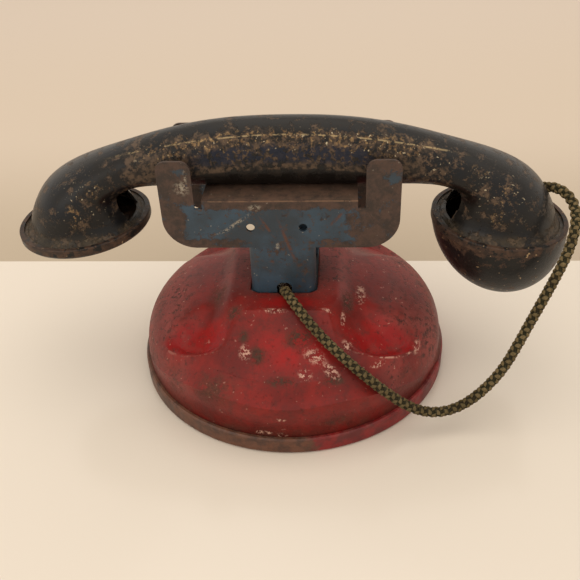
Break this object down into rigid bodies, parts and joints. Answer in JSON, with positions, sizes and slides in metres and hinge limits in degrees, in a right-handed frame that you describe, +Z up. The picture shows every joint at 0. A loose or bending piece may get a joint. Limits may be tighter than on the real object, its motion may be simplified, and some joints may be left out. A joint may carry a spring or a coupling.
{
  "type": "toy telephone",
  "caption": "Pressed-steel toy desk telephone with a round base, a forked cradle, a lift-off hand-set, a finger dial and a bell rung by turning the dial",
  "frame": {"origin": "middle of the flat underside of the base pan", "axes": "+Z up; +X along the hand-set towards its mouthpiece; +Y towards the dial, with the cord leaving on the -Y side"},
  "size_m": [0.1826, 0.108, 0.0909],
  "materials": {
    "red_enamel": "worn satin enamel",
    "brown_tin": "worn, rusty",
    "blue_enamel": "worn matt enamel over rust",
    "black_enamel": "worn satin enamel",
    "cord_braid": "woven cotton",
    "plain_steel": "dull",
    "nickel_plate": "tarnished",
    "number_enamel": "aged cream enamel",
    "brass": "dull"
  },
  "bodies": {
    "base": {"base_shell": "red_enamel", "base_pan": "brown_tin", "cradle": "blue_enamel", "neck_clamp_plate": "plain_steel", "cord_knot_base": "cord_braid", "dial_number_plate": "number_enamel", "dial_bushing": "brass", "finger_stop": "nickel_plate", "gong": "nickel_plate", "gong_post": "plain_steel", "gong_nut": "plain_steel", "striker_pivot_pin": "plain_steel", "striker_pivot_washer": "plain_steel", "striker_spring": "plain_steel"},
    "dial": {"dial_finger_wheel": "nickel_plate", "dial_hub_washer": "plain_steel", "dial_spindle": "plain_steel", "dial_spacer_sleeve": "brass", "trip_star_wheel": "plain_steel"},
    "striker": {"striker_lever": "plain_steel", "striker_wire": "plain_steel", "striker_hammer": "brass"},
    "handset": {"handset_shell": "black_enamel", "earpiece_cap": "black_enamel", "mouthpiece_cup": "black_enamel", "cord_knot_handset": "cord_braid", "cord": "cord_braid"}
  },
  "joints": [
    {"name": "dial_spin", "type": "hinge", "parent": "base", "child": "dial", "pos_m": [0, 0.0368, 0.0255], "axis": [0, 0.6157, 0.788], "continuous": true},
    {"name": "striker_swing", "type": "hinge", "parent": "base", "child": "striker", "pos_m": [0.011, 0.04153, 0.02181], "axis": [0, 0.6157, 0.788], "range_deg": [-2, 10], "stiffness_Nm_per_rad": 0.02},
    {"name": "handset_lift", "type": "slide", "parent": "base", "child": "handset", "axis": [0, 0, 1], "range_m": [0, 0.06], "deforming": ["cord"]}
  ]
}
